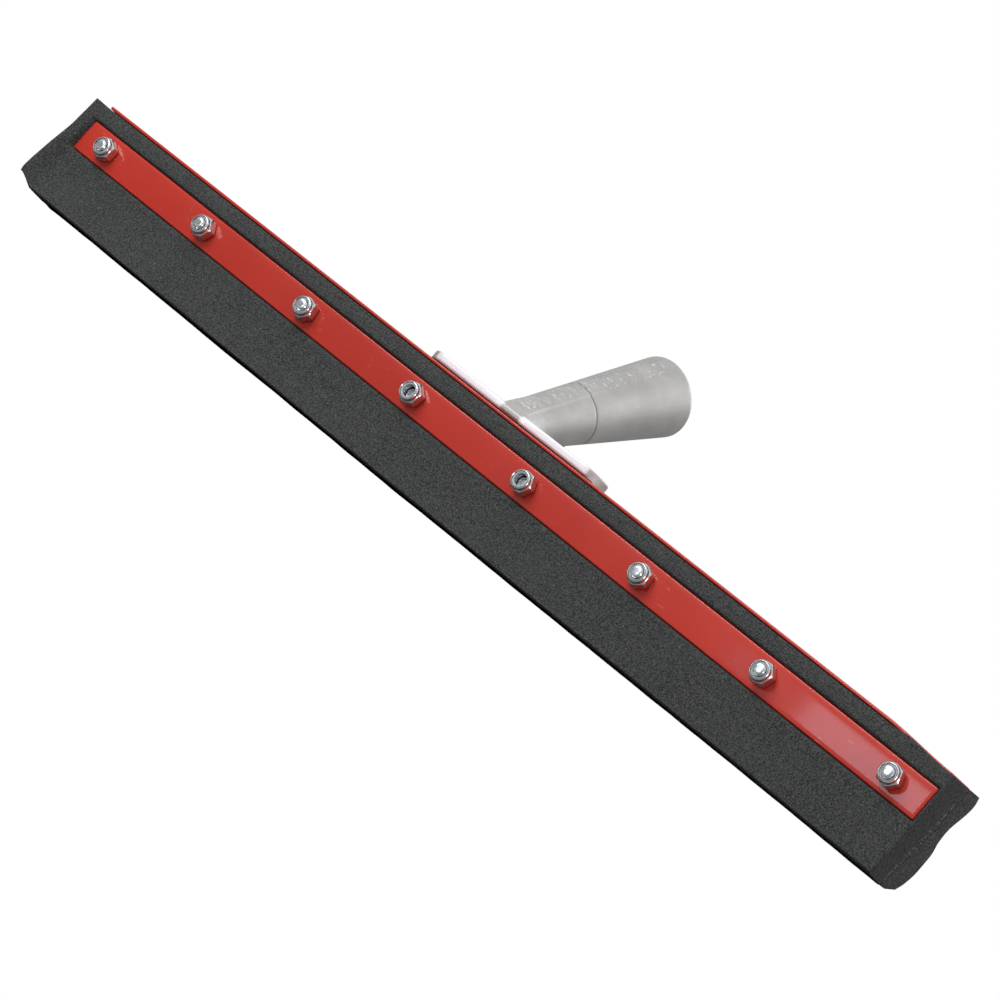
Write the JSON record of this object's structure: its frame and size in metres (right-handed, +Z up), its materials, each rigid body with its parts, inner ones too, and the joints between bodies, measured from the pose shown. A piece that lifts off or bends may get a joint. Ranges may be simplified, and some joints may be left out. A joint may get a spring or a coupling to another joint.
{
  "type": "floor squeegee head",
  "caption": "Straight floor squeegee head: a double foam-rubber blade bolted between a red steel strip and a folded steel angle, with a cast tapered handle socket behind.",
  "frame": {"origin": "middle of the front foam strip's flat foot, on the floor, at mid-length of the blade", "axes": "+X along the blade, +Y backwards to the side where the handle socket points, +Z up; the lock nuts face -Y"},
  "size_m": [0.615, 0.1326, 0.1445],
  "materials": {
    "red_paint": "gloss red enamel, lightly scuffed beside the nuts",
    "foam": "matt charcoal closed-cell foam rubber with fine cut cells",
    "zinc_plate": "bright zinc plate",
    "nylon": "plain milky grey",
    "cast_aluminium": "as cast, tumbled, faint parting line"
  },
  "bodies": {
    "root": {"clamp_strip": "red_paint", "foam_front": "foam", "foam_rear": "foam", "frame_angle": "red_paint", "socket_bracket": "cast_aluminium", "bolt_1": "zinc_plate", "lock_nut_1": "zinc_plate", "nut_insert_1": "nylon", "bolt_2": "zinc_plate", "lock_nut_2": "zinc_plate", "nut_insert_2": "nylon", "bolt_3": "zinc_plate", "lock_nut_3": "zinc_plate", "nut_insert_3": "nylon", "bolt_4": "zinc_plate", "lock_nut_4": "zinc_plate", "nut_insert_4": "nylon", "bolt_5": "zinc_plate", "lock_nut_5": "zinc_plate", "nut_insert_5": "nylon", "bolt_6": "zinc_plate", "lock_nut_6": "zinc_plate", "nut_insert_6": "nylon", "bolt_7": "zinc_plate", "lock_nut_7": "zinc_plate", "nut_insert_7": "nylon", "bolt_8": "zinc_plate", "lock_nut_8": "zinc_plate", "nut_insert_8": "nylon"}
  },
  "joints": []
}
